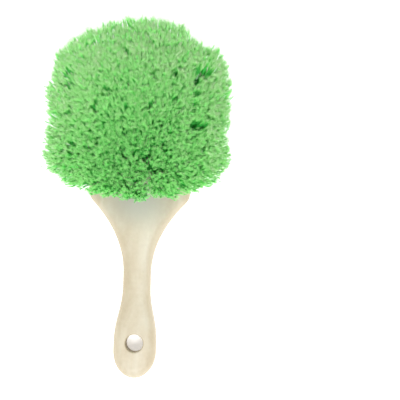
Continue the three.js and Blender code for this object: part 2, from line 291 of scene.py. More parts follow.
# Floor and light
FLOOR_HALF_SIDE = 3
FLOOR_GAP = 0.2 * MM
FLOOR_ROUGHNESS = 0.8
WHITE_ROOM = 0.9
KEY_POWER = 7
FILL_POWER = 49
FLOOR_GLOW = 0.42


def srgb(red, green, blue):
    """A colour given in display values from 0 to 255, as the linear values that a shader takes."""
    shares = [c / 255 for c in (red, green, blue)]
    linear = [s / 12.92 if s <= 0.04045 else ((s + 0.055) / 1.055) ** 2.4 for s in shares]
    return (*linear, 1.0)


class Nodes:
    """Builds a node tree by calls, so that a formula reads as one."""

    def __init__(self, tree):
        self.tree = tree

    def put(self, kind, inputs=None, **settings):
        """A node whose inputs are given by name or number, each as a value or another's output."""
        node = self.tree.nodes.new(kind)
        for name, value in settings.items():
            setattr(node, name, value)
        for name, value in (inputs or {}).items():
            self.feed(self.socket(node.inputs, name), value)
        return node

    def socket(self, sockets, name):
        if isinstance(name, int):
            return sockets[name]
        return next(s for s in sockets if s.name == name and s.enabled)

    def feed(self, socket, value):
        if isinstance(value, bpy.types.NodeSocket):
            self.tree.links.new(value, socket)
        else:
            socket.default_value = value

    def out(self, node, name=0):
        return self.socket(node.outputs, name)

    def sum(self, operation, *values):
        return self.put("ShaderNodeMath", dict(enumerate(values)), operation=operation).outputs[0]

    def plus(self, value, added):
        return self.sum("ADD", value, added)

    def minus(self, value, taken):
        return self.sum("SUBTRACT", value, taken)

    def times(self, value, factor):
        return self.sum("MULTIPLY", value, factor)

    def mapped(self, value, start, end, low=0.0, high=1.0, way="LINEAR"):
        """A value from start to end turned into one from low to high, and held there beyond."""
        given = {"Value": value, "From Min": start, "From Max": end, "To Min": low, "To Max": high}
        return self.put("ShaderNodeMapRange", given, interpolation_type=way).outputs[0]

    def parts(self, vector):
        return self.put("ShaderNodeSeparateXYZ", {"Vector": vector}).outputs

    def noise(self, vector, scale, detail, distortion=0.0):
        given = {"Vector": vector, "Scale": scale, "Detail": detail, "Distortion": distortion}
        return self.put("ShaderNodeTexNoise", given).outputs["Fac"]

    def brightened(self, colour, amount):
        return self.put("ShaderNodeHueSaturation", {"Value": amount, "Color": colour}).outputs[0]

    def mixed(self, factor, under, over):
        node = self.put("ShaderNodeMix", {"Factor": factor, "A": under, "B": over}, data_type="RGBA")
        return self.out(node, "Result")

    def vector(self, operation, *values):
        node = self.put("ShaderNodeVectorMath", operation=operation)
        for i, value in enumerate(values):
            self.feed(node.inputs["Scale"] if operation == "SCALE" and i == 1 else node.inputs[i], value)
        return node.outputs["Value" if operation in ("DOT_PRODUCT", "LENGTH") else "Vector"]

    def total(self, *vectors):
        result = vectors[0]
        for each in vectors[1:]:
            result = self.vector("ADD", result, each)
        return result


# The block's outline, as in the solid but with finer steps

def line(start, end, steps):
    share = np.linspace(0, 1, steps + 1)[1:, None]
    return np.array(start) * (1 - share) + np.array(end) * share


def bend(start, turn, end, steps):
    share = np.linspace(0, 1, steps + 1)[1:, None]
    return (np.array(start) * (1 - share) ** 2 + 2 * np.array(turn) * share * (1 - share)
            + np.array(end) * share ** 2)


def ease(start, leave, arrive, end, steps):
    share = np.linspace(0, 1, steps + 1)[1:, None]
    rest = 1 - share
    return (np.array(start) * rest ** 3 + 3 * np.array(leave) * share * rest ** 2
            + 3 * np.array(arrive) * share ** 2 * rest + np.array(end) * share ** 3)


def arc(centre, reach_x, reach_y, first, last, steps):
    turn = np.linspace(first, last, steps + 1)[1:]
    return np.stack([centre[0] + reach_x * np.cos(turn), centre[1] + reach_y * np.sin(turn)], 1)


def block_outline():
    """Anticlockwise from the end of the handle, up the right side, round the toe and back."""
    toe_centre = TOE_REACH - TOE_RADIUS
    swell_ease = (NECK_START - SWELL_END) * SWELL_EASE_SHARE
    shoulder = np.array([HALF_HEAD, -SHOULDER_REACH])
    flare_turn = np.array([HALF_NECK, (NECK_END - SHOULDER_REACH) / 2])
    to_flare = flare_turn - shoulder
    flare_end = shoulder + to_flare * (SHOULDER_CORNER_REACH / np.linalg.norm(to_flare))
    corner_angle = math.acos(HALF_HEAD / TOE_RADIUS)
    toe_corner = toe_centre + TOE_RADIUS * math.sin(corner_angle)
    arc_start = corner_angle + TOE_CORNER_REACH / TOE_RADIUS
    arc_first = (TOE_RADIUS * math.cos(arc_start), toe_centre + TOE_RADIUS * math.sin(arc_start))
    side_start = (HALF_HEAD, SHOULDER_CORNER_REACH - SHOULDER_REACH)
    side_end = (HALF_HEAD, toe_corner - TOE_CORNER_REACH)
    right = np.concatenate([
        np.array([[0, BUTT_END]]),
        arc((0, BUTT_WIDEST), HALF_BUTT, BUTT_WIDEST - BUTT_END, -math.pi / 2, 0, steps=22),
        line((HALF_BUTT, BUTT_WIDEST), (HALF_BUTT, SWELL_END), steps=3),
        ease((HALF_BUTT, SWELL_END), (HALF_BUTT, SWELL_END + swell_ease),
             (HALF_NECK, NECK_START - swell_ease), (HALF_NECK, NECK_START), steps=20),
        line((HALF_NECK, NECK_START), (HALF_NECK, NECK_END), steps=4),
        bend((HALF_NECK, NECK_END), flare_turn, flare_end, steps=24),
        bend(flare_end, shoulder, side_start, steps=8),
        line(side_start, side_end, steps=20),
        bend(side_end, (HALF_HEAD, toe_corner), arc_first, steps=8),
        arc((0, toe_centre), TOE_RADIUS, TOE_RADIUS, arc_start, math.pi / 2, steps=18),
    ])
    right[-1] = (0, TOE_REACH)
    left = right[1:-1][::-1] * (-1, 1)
    return np.concatenate([right, left])


def smooth_share(value, start, end):
    share = np.clip((value - start) / (end - start), 0, 1)
    return share * share * (3 - 2 * share)


def centre_height(y):
    to_neck = smooth_share(y, HANG_HOLE_Y, NECK_START)
    to_head = smooth_share(y, NECK_END, -SHOULDER_REACH)
    grip = BUTT_THICKNESS + (NECK_THICKNESS - BUTT_THICKNESS) * to_neck
    toe_share = np.maximum(y, 0) / TOE_REACH
    return grip + (HEAD_THICKNESS - grip) * to_head - TOE_FALL * toe_share ** 2


def crowned_height(x, y):
    return centre_height(y) - x ** 2 / (2 * CROWN_RADIUS)


def back_radius(y):
    to_head = smooth_share(y, NECK_END, -SHOULDER_REACH)
    return GRIP_BACK_EDGE_RADIUS + (BACK_EDGE_RADIUS - GRIP_BACK_EDGE_RADIUS) * to_head


def drawn_in(outline, inset, share=0.0):
    """The outline drawn in towards the spine by a distance, or by a share of the way past it."""
    spine_start = BUTT_END + HALF_BUTT * SPINE_END_SHARE
    spine_end = TOE_REACH - HALF_HEAD * SPINE_END_SHARE
    spine = np.stack([np.zeros(len(outline)), np.clip(outline[:, 1], spine_start, spine_end)], 1)
    reach = np.linalg.norm(outline - spine, axis=1)
    moved = inset + (reach - inset) * share
    return outline + (spine - outline) * (moved / reach)[:, None]


def block_rings(outline):
    """Rings of points round the block, from its back, up its side and over its crowned face."""
    rings = []
    radius = back_radius(outline[:, 1])
    for share in BACK_SHARES:
        flat = drawn_in(outline, radius, share)
        rings.append(np.column_stack([flat, np.zeros(len(flat))]))
    for turn in np.linspace(0, math.pi / 2, BACK_EDGE_RINGS):
        flat = drawn_in(outline, radius * (1 - math.sin(turn)))
        rings.append(np.column_stack([flat, radius * (1 - math.cos(turn))]))
    parting = PARTING_HEIGHT_SHARE * crowned_height(outline[:, 0], outline[:, 1])
    for step, ridge in ((-2, 0), (-1, 0), (0, 1), (1, 0), (2, 0)):
        flat = drawn_in(outline, np.full(len(outline), -ridge * PARTING_RIDGE))
        rings.append(np.column_stack([flat, parting + step * PARTING_HALF_WIDTH]))
    for turn in np.linspace(0, math.pi / 2, FRONT_EDGE_RINGS):
        flat = drawn_in(outline, np.full(len(outline), FRONT_EDGE_RADIUS * (1 - math.cos(turn))))
        height = crowned_height(flat[:, 0], flat[:, 1]) - FRONT_EDGE_RADIUS * (1 - math.sin(turn))
        rings.append(np.column_stack([flat, height]))
    for share in FACE_SHARES:
        flat = drawn_in(outline, np.full(len(outline), FRONT_EDGE_RADIUS), share)
        rings.append(np.column_stack([flat, crowned_height(flat[:, 0], flat[:, 1])]))
    return rings


def add_mesh(name, points, faces):
    mesh = bpy.data.meshes.new(name)
    mesh.from_pydata([tuple(p) for p in points], [], faces)
    thing = bpy.data.objects.new(name, mesh)
    bpy.context.scene.collection.objects.link(thing)
    return thing


def tidy_mesh(thing):
    shape = bmesh.new()
    shape.from_mesh(thing.data)
    bmesh.ops.remove_doubles(shape, verts=shape.verts, dist=WELD_DISTANCE)
    bmesh.ops.dissolve_degenerate(shape, edges=shape.edges, dist=SLIVER_LENGTH)
    bmesh.ops.recalc_face_normals(shape, faces=shape.faces)
    shape.to_mesh(thing.data)
    shape.free()


def plain_block():
    rings = block_rings(block_outline())
    count = len(rings[0])
    faces = []
    for r in range(len(rings) - 1):
        for i in range(count):
            after = (i + 1) % count
            first = r * count
            faces.append((first + i, first + after, first + count + after, first + count + i))
    block = add_mesh("moulded_block", np.concatenate(rings), faces)
    tidy_mesh(block)
    return block


def turned(name, profile, sides, place):
    """A closed solid turned round the axis of a placing matrix, from (radius, height) pairs."""
    points, faces = [], []
    for radius, height in profile:
        for i in range(sides):
            turn = 2 * math.pi * i / sides
            points.append(place @ Vector((radius * math.cos(turn), radius * math.sin(turn), height)))
    for r in range(len(profile) - 1):
        for i in range(sides):
            after = (i + 1) % sides
            first = r * sides
            faces.append((first + i, first + after, first + sides + after, first + sides + i))
    faces.append(tuple(reversed(range(sides))))
    faces.append(tuple(range((len(profile) - 1) * sides, len(profile) * sides)))
    return add_mesh(name, points, faces)


def hang_hole_cutter():
    top = float(centre_height(np.array(HANG_HOLE_Y)))
    lip = [(HANG_HOLE_RADIUS + HANG_HOLE_LIP * (1 - math.cos(t)), HANG_HOLE_LIP * math.sin(t))
           for t in np.linspace(0, math.pi / 2, HANG_HOLE_LIP_RINGS)]
    below = [(r, HANG_HOLE_LIP - h) for r, h in reversed(lip)]
    above = [(r, top - HANG_HOLE_LIP + h) for r, h in lip]
    wide = HANG_HOLE_RADIUS + HANG_HOLE_LIP
    profile = [(wide, -OVERRUN), *below, *above, (wide, top + OVERRUN)]
    place = Matrix.Translation((0, HANG_HOLE_Y, 0))
    return turned("hang_hole_cutter", profile, HANG_HOLE_SIDES, place)


def tuft_hole_cutter(index, tuft):
    axis = tuft["axis"]
    across = tuft["across"]
    place = Matrix((across, axis.cross(across), axis)).transposed().to_4x4()
    place.translation = tuft["root"]
    profile = [(TUFT_HOLE_RADIUS, -TUFT_HOLE_DEPTH), (TUFT_HOLE_RADIUS, OVERRUN)]
    return turned(f"tuft_hole_{index:02d}", profile, TUFT_HOLE_SIDES, place)


def applied(thing):
    """The mesh that an object's modifiers make, put in place of its own."""
    graph = bpy.context.evaluated_depsgraph_get()
    mesh = bpy.data.meshes.new_from_object(thing.evaluated_get(graph))
    thing.modifiers.clear()
    thing.data = mesh
    return thing


def cut(block, cutters):
    for cutter in cutters:
        tidy_mesh(cutter)
        hole = block.modifiers.new(cutter.name, "BOOLEAN")
        hole.operation = "DIFFERENCE"
        hole.solver = "EXACT"
        hole.object = cutter
    applied(block)
    for cutter in cutters:
        bpy.data.objects.remove(cutter)


# Tufts, read from the staples that hold them

def read_tufts():
    """Each tuft's piece of the bristles, root and axis. A staple stands across the fold of its
    tuft, so its middle lies on the tuft's axis and its height runs along it."""
    tufts = []
    number = 0
    fold_to_face = TUFT_HOLE_DEPTH - FOLD_THICKNESS - STAPLE_HEIGHT / 2
    for column, count in enumerate(COLUMN_COUNTS):
        for k in range(count):
            for _ in range(1 if column == 0 else 2):
                number += 1
                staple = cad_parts[f"staple_{number:02d}"]
                corners = np.array([v.co for v in staple.data.vertices])
                middle = (corners.max(0) + corners.min(0)) / 2
                corner = corners[0]
                apart = np.linalg.norm(corners - corner, axis=1)
                upright = next(c - corner for c, d in zip(corners, apart)
                               if abs(d - STAPLE_HEIGHT) < STAPLE_HEIGHT_SLACK)
                axis = Vector(upright).normalized()
                if axis.z < 0:
                    axis.negate()
                strip = min(k // TUFTS_PER_STRIP, len(STRIPS) - 1)
                root = Vector(middle) + axis * fold_to_face
                across = (Vector((1, 0, 0)) - axis * axis.x).normalized()
                piece = 2 * strip + (1 if column > 1 else 0)
                tufts.append({"piece": piece, "root": root, "axis": axis, "across": across})
    return tufts


def finish_tufts(tufts):
    """Adds where the middle of each tuft's tips is."""
    low = min(t["root"].y for t in tufts)
    high = max(t["root"].y for t in tufts)
    for tuft in tufts:
        way = (tuft["root"].y - low) / (high - low)
        length = HEEL_BRISTLE_LENGTH + (TOE_BRISTLE_LENGTH - HEEL_BRISTLE_LENGTH) * way
        tuft["tip"] = tuft["root"] + tuft["axis"] * length
    return tufts


def surface_terms(x, y):
    return np.stack([np.ones_like(x), y, y ** 2, y ** 3, y ** 4, x ** 2, x ** 2 * y, x ** 2 * y ** 2], 1)


def trim_outline():
    """The outline of the trimmed face, right half and left half, with its corners eased."""
    right = np.array([(half, y) for y, half in TRIM_OUTLINE]) * MM
    outline = np.concatenate([right, right[1:-1][::-1] * (-1, 1)])
    near, far = 1 - TRIM_CORNER_SHARE, TRIM_CORNER_SHARE
    for _ in range(TRIM_CORNER_CUTS):
        after = np.roll(outline, -1, axis=0)
        pairs = np.stack([outline * near + after * far, outline * far + after * near], 1)
        outline = pairs.reshape(-1, 2)
    way_out = outline - TRIM_MIDDLE
    reach = np.linalg.norm(way_out, axis=1)
    turn = np.arctan2(way_out[:, 1], way_out[:, 0])
    uneven = sum(height * np.sin(waves * turn + start) for waves, start, height in UNEVEN_EDGE)
    return outline + way_out * (uneven / reach)[:, None]


def trimmed_face(tufts):
    """The face that all the tips are trimmed to, a smooth surface through the tips of the tufts."""
    tips = np.array([t["tip"] for t in tufts])
    fit = np.linalg.lstsq(surface_terms(tips[:, 0], tips[:, 1]), tips[:, 2], rcond=None)[0]
    outline = trim_outline()
    middle = np.array(TRIM_MIDDLE)
    count = len(outline)
    flat = [middle[None]]
    flat += [middle + (outline - middle) * share for share in np.linspace(0, 1, TRIM_RINGS + 1)[1:]]
    flat = np.concatenate(flat)
    height = surface_terms(flat[:, 0], flat[:, 1]) @ fit
    faces = [(0, 1 + i, 1 + (i + 1) % count) for i in range(count)]
    for r in range(TRIM_RINGS - 1):
        first = 1 + r * count
        for i in range(count):
            after = (i + 1) % count
            faces.append((first + i, first + count + i, first + count + after, first + after))
    return add_mesh("trimmed_face", np.column_stack([flat, height]), faces)


def tip_reaches(tufts, face):
    """How far the tips of each tuft reach from its middle, across and ahead, when each spot on the
    trimmed face belongs to the nearest tuft."""
    tips = np.array([t["tip"] for t in tufts])
    spots = np.array([v.co for v in face.data.vertices])
    owner = np.linalg.norm(spots[:, None] - tips[None], axis=2).argmin(1)
    for i, tuft in enumerate(tufts):
        own = spots[owner == i] - tips[i]
        across = np.array(tuft["across"])
        ahead = np.array(tuft["axis"].cross(tuft["across"]))
        wide = max(np.abs(own @ across).max(), TUFT_HOLE_RADIUS)
        long = max(np.abs(own @ ahead).max(), TUFT_HOLE_RADIUS)
        tuft["reach"] = (wide, long, 0)


def filament_mesh():
    """One filament of unit length: a stem and the split ends of its flagged tip. Its points hold
    where they lie along the filament, round it and out in the splay."""
    along, ring, splay, faces = [], [], [], []

    def tube(levels, outward, pointed):
        start = len(along)
        sides = FILAMENT_SIDES
        for level, thickness, spread in levels:
            for i in range(sides):
                turn = 2 * math.pi * i / sides
                along.append(level)
                ring.append((thickness * math.cos(turn), thickness * math.sin(turn), 0))
                splay.append((outward[0] * spread, outward[1] * spread, 0))
        for r in range(len(levels) - 1):
            for i in range(sides):
                a, b = start + r * sides + i, start + r * sides + (i + 1) % sides
                faces.append((a, b, b + sides, a + sides))
        faces.append(tuple(reversed(range(start, start + sides))))
        last = len(along) - sides
        if pointed:
            along.append(1)
            ring.append((0, 0, 0))
            splay.append((outward[0], outward[1], 0))
            faces.extend((last + i, last + (i + 1) % sides, last + sides) for i in range(sides))
        else:
            faces.append(tuple(range(last, last + sides)))

    tube([(level, 1, 0) for level in STEM_LEVELS], (0, 0), False)
    flag_levels = [(FLAG_FROM_SHARE - FLAG_OVERLAP_SHARE, FLAG_ROOT_THICKNESS, 0),
                   ((1 + FLAG_FROM_SHARE) / 2, FLAG_MIDDLE_THICKNESS, FLAG_MIDDLE_SPREAD)]
    for i in range(FLAG_ENDS):
        turn = 2 * math.pi * i / FLAG_ENDS
        far = 1 if i % 2 else SHORT_FLAG_SHARE
        tube(flag_levels, (far * math.cos(turn), far * math.sin(turn)), True)
    thing = add_mesh("one_filament", [(r[0], r[1], a) for a, r in zip(along, ring)], faces)
    store(thing.data, "along", "FLOAT", along)
    store(thing.data, "ring", "FLOAT_VECTOR", ring)
    store(thing.data, "splay", "FLOAT_VECTOR", splay)
    return thing


def store(mesh, name, kind, values):
    attribute = mesh.attributes.new(name, kind, "POINT")
    field = "value" if kind == "FLOAT" else "vector"
    attribute.data.foreach_set(field, np.array(values, np.float32).ravel())


def bristle_tree():
    """Fills one group of tufts with filaments. Tips are spread over the trimmed face, each belongs
    to the nearest tuft, and its filament runs up from that tuft's hole to the tip. Comes with the
    identifiers of the tree's sockets by their names."""
    tree = bpy.data.node_groups.new("bristle_fill", "GeometryNodeTree")
    kinds = {"Trimmed face": "Geometry", "Tufts": "Object", "Filament": "Object",
             "Parted spots": "Object", "Group": "Float", **dict.fromkeys(BRISTLE_MEASURES, "Float"),
             "Seed": "Int", "Material": "Material"}
    sockets = {}
    for name, kind in kinds.items():
        made = tree.interface.new_socket(name, in_out="INPUT", socket_type="NodeSocket" + kind)
        sockets[name] = made.identifier
    tree.interface.new_socket("Geometry", in_out="OUTPUT", socket_type="NodeSocketGeometry")
    n = Nodes(tree)
    given = n.put("NodeGroupInput").outputs
    here = n.put("GeometryNodeInputPosition").outputs[0]

    def named(name, kind="FLOAT_VECTOR"):
        node = n.put("GeometryNodeInputNamedAttribute", {"Name": name}, data_type=kind)
        return node.outputs["Attribute"]

    def keep(points, name, value, kind="FLOAT_VECTOR"):
        values = {"Geometry": points, "Name": name, "Value": value}
        node = n.put("GeometryNodeStoreNamedAttribute", values, data_type=kind, domain="POINT")
        return node.outputs[0]

    def scatter(low, high, seed_step, kind="FLOAT"):
        seed = n.plus(given["Seed"], seed_step)
        node = n.put("FunctionNodeRandomValue", {"Min": low, "Max": high, "Seed": seed}, data_type=kind)
        return n.out(node, "Value")

    def shape_of(name):
        return n.put("GeometryNodeObjectInfo", {"Object": given[name]}).outputs["Geometry"]

    def sampled(geometry, index, value, kind="FLOAT_VECTOR"):
        values = {"Geometry": geometry, "Value": value, "Index": index}
        return n.out(n.put("GeometryNodeSampleIndex", values, data_type=kind, domain="POINT"))

    # Tips, each with the tuft that it belongs to
    density = n.mapped(n.parts(here)[1], TRIM_HEEL, TRIM_TOE, 1.0, TOE_TIP_SHARE)
    tips = n.put("GeometryNodeDistributePointsOnFaces",
                 {"Mesh": given["Trimmed face"], "Distance Min": given["Tip spacing"],
                  "Density Max": TIP_DENSITY_LIMIT, "Density Factor": density, "Seed": given["Seed"]},
                 distribute_method="POISSON").outputs["Points"]
    tufts = shape_of("Tufts")
    nearest = n.put("GeometryNodeSampleNearest", {"Geometry": tufts}, domain="POINT").outputs["Index"]
    tips = keep(tips, "tuft_tip", sampled(tufts, nearest, here))
    for name in ("root", "axis", "across", "reach"):
        tips = keep(tips, name, sampled(tufts, nearest, named(name)))
    tips = keep(tips, "group", sampled(tufts, nearest, named("group", "FLOAT"), "FLOAT"), "FLOAT")
    groups_apart = n.sum("ABSOLUTE", n.minus(named("group", "FLOAT"), given["Group"]))
    other = n.sum("GREATER_THAN", groups_apart, 0.5)
    tips = n.put("GeometryNodeDeleteGeometry", {"Geometry": tips, "Selection": other},
                 domain="POINT").outputs[0]

    # Where each filament stands in its hole
    axis, across = named("axis"), named("across")
    ahead = n.vector("CROSS_PRODUCT", axis, across)
    reach = n.parts(named("reach"))
    from_middle = n.vector("SUBTRACT", here, named("tuft_tip"))
    share_across = n.sum("DIVIDE", n.vector("DOT_PRODUCT", from_middle, across), reach[0])
    share_ahead = n.sum("DIVIDE", n.vector("DOT_PRODUCT", from_middle, ahead), reach[1])
    stand = n.total(n.vector("SCALE", across, share_across), n.vector("SCALE", ahead, share_ahead))
    beyond = n.sum("MAXIMUM", n.vector("LENGTH", stand), 1.0)
    stand = n.vector("SCALE", stand, n.sum("DIVIDE", given["Hole radius"], beyond))
    tips = keep(tips, "stand", stand)

    # How upright its tuft is, which clump it is in, and how its end is kinked
    upright = n.parts(axis)[2]
    flat_share = n.minus(1.0, upright)
    outer = n.sum("MINIMUM", n.times(flat_share, OUTER_GAIN), 1.0)
    clumps_per_metre = n.sum("DIVIDE", 1.0, given["Clump size"])
    cell = n.put("ShaderNodeTexVoronoi", {"Vector": here, "Scale": clumps_per_metre},
                 voronoi_dimensions="3D", feature="F1").outputs
    clump_draws = n.parts(cell["Color"])
    clumping = n.mapped(upright, LEANING, UPRIGHT, TOE_CLUMPING, HEEL_CLUMPING)
    clumping = n.times(given["Clumping"], clumping)
    to_clump = n.vector("SCALE", n.vector("SUBTRACT", cell["Position"], here), clumping)
    clump_way = n.vector("SCALE", n.vector("SUBTRACT", cell["Color"], (0.5, 0.5, 0.5)), 2.0)
    own_way = scatter((-1, -1, -1), (1, 1, 1), 1, "FLOAT_VECTOR")
    stray = n.sum("LESS_THAN", scatter(0.0, 1.0, 2), given["Stray share"])
    own_kink = n.plus(given["Filament kink"], n.times(stray, given["Stray kink"]))
    kink = n.total(n.vector("SCALE", clump_way, given["Clump kink"]),
                   n.vector("SCALE", own_way, own_kink))

    # How far it ends above the trimmed face, or below it in a gap, a parted spot or as a short one
    uneven = scatter(TIP_BELOW, TIP_ABOVE, 3)
    aside = n.sum("ABSOLUTE", n.parts(here)[0])
    aside = n.mapped(aside, WHISKER_ASIDE, WHISKER_ASIDE + WHISKER_EASE)
    heelward = n.mapped(n.parts(here)[1], WHISKER_BELOW, WHISKER_BELOW - WHISKER_EASE)
    whisker = n.plus(1.0, n.times(n.times(aside, heelward), WHISKER_GAIN))
    far = n.times(n.times(n.times(stray, given["Stray reach"]), outer), whisker)
    gap_share = n.mapped(upright, LEANING, UPRIGHT, TOE_GAP_SHARE, HEEL_GAP_SHARE)
    gap = n.sum("LESS_THAN", clump_draws[2], gap_share)
    short = n.sum("LESS_THAN", scatter(0.0, 1.0, 6), n.times(outer, given["Short share"]))
    short_depth = n.times(scatter(SHORT_LEAST, 1.0, 7), given["Short depth"])
    spots = shape_of("Parted spots")
    flat_here = n.vector("MULTIPLY", here, (1.0, 1.0, 0.0))
    spot = n.put("GeometryNodeSampleNearest", {"Geometry": spots, "Sample Position": flat_here},
                 domain="POINT").outputs["Index"]
    from_spot = n.vector("LENGTH", n.vector("SUBTRACT", flat_here, sampled(spots, spot, here)))
    from_spot = n.plus(from_spot, scatter(-PARTED_EDGE, PARTED_EDGE, 8))
    parted = n.sum("LESS_THAN", from_spot, sampled(spots, spot, named("wide", "FLOAT"), "FLOAT"))
    parted_depth = n.times(scatter(PARTED_LEAST, 1.0, 9), given["Parted depth"])
    level = n.plus(n.times(uneven, given["Uneven trim"]), far)
    level = n.minus(level, n.times(gap, given["Gap depth"]))
    level = n.minus(level, n.times(short, short_depth))
    level = n.minus(level, n.times(parted, parted_depth))
    tuft_level = n.put("ShaderNodeTexWhiteNoise", {"Vector": named("tuft_tip")},
                       noise_dimensions="3D").outputs["Value"]
    tuft_level = n.times(n.minus(tuft_level, 0.5), given["Uneven tufts"])
    unevenness = n.plus(UPRIGHT_UNEVENNESS, n.times(flat_share, LEANING_UNEVENNESS))
    tuft_level = n.times(tuft_level, unevenness)

    # How it rises along its tuft's axis and leans out to its tip
    own_axis = n.vector("NORMALIZE", n.vector("SUBTRACT", here, named("root")))
    patches = n.noise(here, PATCH_SCALE, 1.0)
    gathering = n.times(n.mapped(patches, PATCH_FROM, PATCH_TO), n.times(given["Gathering"], -1.0))
    end = n.total(here, n.vector("SCALE", from_middle, gathering), to_clump,
                  n.vector("SCALE", clump_way, given["Clump shift"]),
                  n.vector("SCALE", own_axis, n.plus(level, tuft_level)))
    climb = n.vector("SUBTRACT", n.vector("SUBTRACT", end, kink), named("root"))
    rise = n.vector("DOT_PRODUCT", climb, axis)

    # How light it is: its own tone, with painted shade on low tips, gaps, parted spots and the heel
    # Lower tips are painted darker, a painted shade; the clump's part is its own tone
    shade = n.plus(n.times(clump_draws[0], CLUMP_SHADE), n.times(uneven, HEIGHT_PAINTED_SHADE))
    shade = n.plus(shade, scatter(SHADE_LOW, SHADE_HIGH, 4))
    # Painted shade in the gaps
    shade = n.minus(shade, n.times(gap, GAP_PAINTED_SHADE))
    # Painted shade: the upright tufts at the heel are duller and less pale
    shade = n.minus(shade, n.mapped(upright, HEEL_PAINTED_SHADE_FROM, UPRIGHT, 0.0, HEEL_PAINTED_SHADE))
    shade = n.plus(shade, n.times(short, SHORT_SHADE))
    # Painted shade in the parted spots
    shade = n.minus(shade, n.times(parted, PARTED_PAINTED_SHADE))
    tips = keep(tips, "kink", kink)
    tips = keep(tips, "lean", n.vector("SUBTRACT", climb, n.vector("SCALE", axis, rise)))
    tips = keep(tips, "rise", rise, "FLOAT")
    tips = keep(tips, "shade", shade, "FLOAT")
    tips = keep(tips, "twist", scatter(0.0, 2 * math.pi, 5), "FLOAT")
    standing = n.put("GeometryNodeInstanceOnPoints", {"Points": tips, "Instance": shape_of("Filament")})
    standing = n.put("GeometryNodeRealizeInstances", {"Geometry": standing.outputs[0]}).outputs[0]

    # Each point of a filament goes to its place
    along = named("along", "FLOAT")
    flare = n.sum("POWER", along, given["Flare power"])
    lean = n.vector("SCALE", n.vector("SUBTRACT", named("lean"), named("stand")), flare)
    bent = n.sum("DIVIDE", n.minus(along, KINK_FROM_SHARE), 1 - KINK_FROM_SHARE)
    bent = n.sum("POWER", n.sum("MAXIMUM", bent, 0.0), KINK_POWER)
    splay = n.put("ShaderNodeVectorRotate", {"Vector": named("splay"), "Angle": named("twist", "FLOAT")},
                  rotation_type="Z_AXIS").outputs[0]
    splay = n.parts(n.vector("SCALE", splay, given["Flag splay"]))
    ring = n.parts(n.vector("SCALE", named("ring"), given["Filament radius"]))
    place = n.total(named("root"), n.vector("SCALE", axis, n.times(along, named("rise", "FLOAT"))),
                    named("stand"), lean, n.vector("SCALE", named("kink"), bent),
                    n.vector("SCALE", across, n.plus(splay[0], ring[0])),
                    n.vector("SCALE", ahead, n.plus(splay[1], ring[1])))
    standing = n.put("GeometryNodeSetPosition", {"Geometry": standing, "Position": place}).outputs[0]
    dressed = n.put("GeometryNodeSetMaterial", {"Geometry": standing, "Material": given["Material"]})
    n.put("NodeGroupOutput", {"Geometry": dressed.outputs[0]})
    return tree, sockets


def tuft_points(tufts):
    """A point at the middle of each tuft's tips, which holds what its filaments need."""
    thing = add_mesh("tuft_points", [t["tip"] for t in tufts], [])
    store(thing.data, "root", "FLOAT_VECTOR", [t["root"] - t["axis"] * ROOT_BELOW_FACE for t in tufts])
    for name in ("axis", "across", "reach"):
        store(thing.data, name, "FLOAT_VECTOR", [t[name] for t in tufts])
    store(thing.data, "group", "FLOAT", [t["piece"] for t in tufts])
    return thing


def parted_spots():
    """The places of the parted spots, seen from above, each with its reach."""
    thing = add_mesh("parted_spots", [(x * MM, y * MM, 0) for x, y, _ in PARTED_SPOTS], [])
    store(thing.data, "wide", "FLOAT", [reach * MM for _, _, reach in PARTED_SPOTS])
    return thing


def bristle_piece(name, face, tree, values):
    """One piece of filaments, over a group of the tufts. The values go to the tree's sockets."""
    thing = bpy.data.objects.new(name, face.data.copy())
    bpy.context.scene.collection.objects.link(thing)
    fill = thing.modifiers.new("bristle_fill", "NODES")
    fill.node_group = tree
    for socket, value in values.items():
        fill[socket] = value
    applied(thing)
    mesh = thing.data
    spare = [a.name for a in mesh.attributes if a.name in SPARE_ATTRIBUTES]
    for attribute in spare:
        mesh.attributes.remove(mesh.attributes[attribute])
    mesh.shade_smooth()
    return thing


# Materials

def new_material(name):
    material = bpy.data.materials.new(name)
    material.use_nodes = True
    n = Nodes(material.node_tree)
    return material, n, material.node_tree.nodes["Principled BSDF"]


def ramp(n, factor, stops):
    node = n.put("ShaderNodeValToRGB", {"Fac": factor})
    elements = node.color_ramp.elements
    while len(elements) < len(stops):
        elements.new(0.5)
    for element, (position, colour) in zip(elements, stops):
        element.position = position
        element.color = srgb(*colour)
    return node.outputs["Color"]


def bristle_material():
    """Saturated green filament with pale, whitened split ends, painted darker towards the root; each
    filament has its own shade, which holds its own tone and painted shade.
    """
    material, n, shader = new_material("green_filament")
    along = n.put("ShaderNodeAttribute", attribute_name="along").outputs["Fac"]
    shade = n.put("ShaderNodeAttribute", attribute_name="shade").outputs["Fac"]
    worn = n.minus(along, n.times(n.minus(1.0, shade), WEAR_REACH))
    colour = ramp(n, worn, FILAMENT_COLOURS)
    bright = n.mapped(shade, DULL_SHADE, BRIGHT_SHADE, DULLEST, BRIGHTEST)
    # Painted shade: the gaps and parted spots fall on towards the darkest
    deep = n.mapped(shade, DARK_SHADE, DEEP_SHADE, DARKEST, 1.0)
    colour = n.brightened(colour, n.times(bright, deep))
    n.feed(shader.inputs["Base Color"], colour)
    shader.inputs["Roughness"].default_value = FILAMENT_ROUGHNESS
    shader.inputs["Specular IOR Level"].default_value = FILAMENT_GLOSS
    return material


